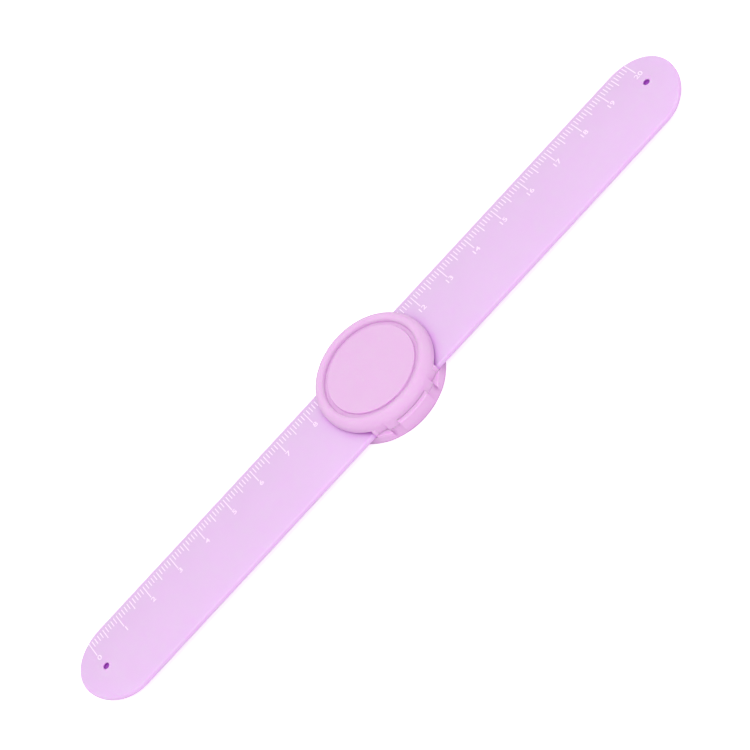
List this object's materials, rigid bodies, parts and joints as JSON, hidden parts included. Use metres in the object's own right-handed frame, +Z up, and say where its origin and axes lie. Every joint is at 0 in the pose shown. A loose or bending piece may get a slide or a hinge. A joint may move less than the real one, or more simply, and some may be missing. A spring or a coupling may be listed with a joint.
{
  "type": "slap bracelet",
  "caption": "Slap bracelet snapped out straight: a crowned silicone strap with a printed ruler edge and a round clip-on case with a grooved top disc at its middle.",
  "frame": {"origin": "centre of the case's flat underside, on the surface it stands on", "axes": "+X along the strap towards the ruler's high end, +Y across the strap towards the ruler's edge, +Z up through the case's top disc"},
  "size_m": [0.215, 0.036, 0.0101],
  "materials": {
    "silicone": "soft matte lavender silicone",
    "spring_steel": "violet-tinted spring steel",
    "case_plastic": "satin moulded orchid plastic",
    "ruler_ink": "matte white print"
  },
  "bodies": {
    "root": {"strap_sleeve": "silicone", "spring_strip": "spring_steel", "case_cap": "case_plastic", "case_base": "case_plastic"}
  },
  "joints": []
}
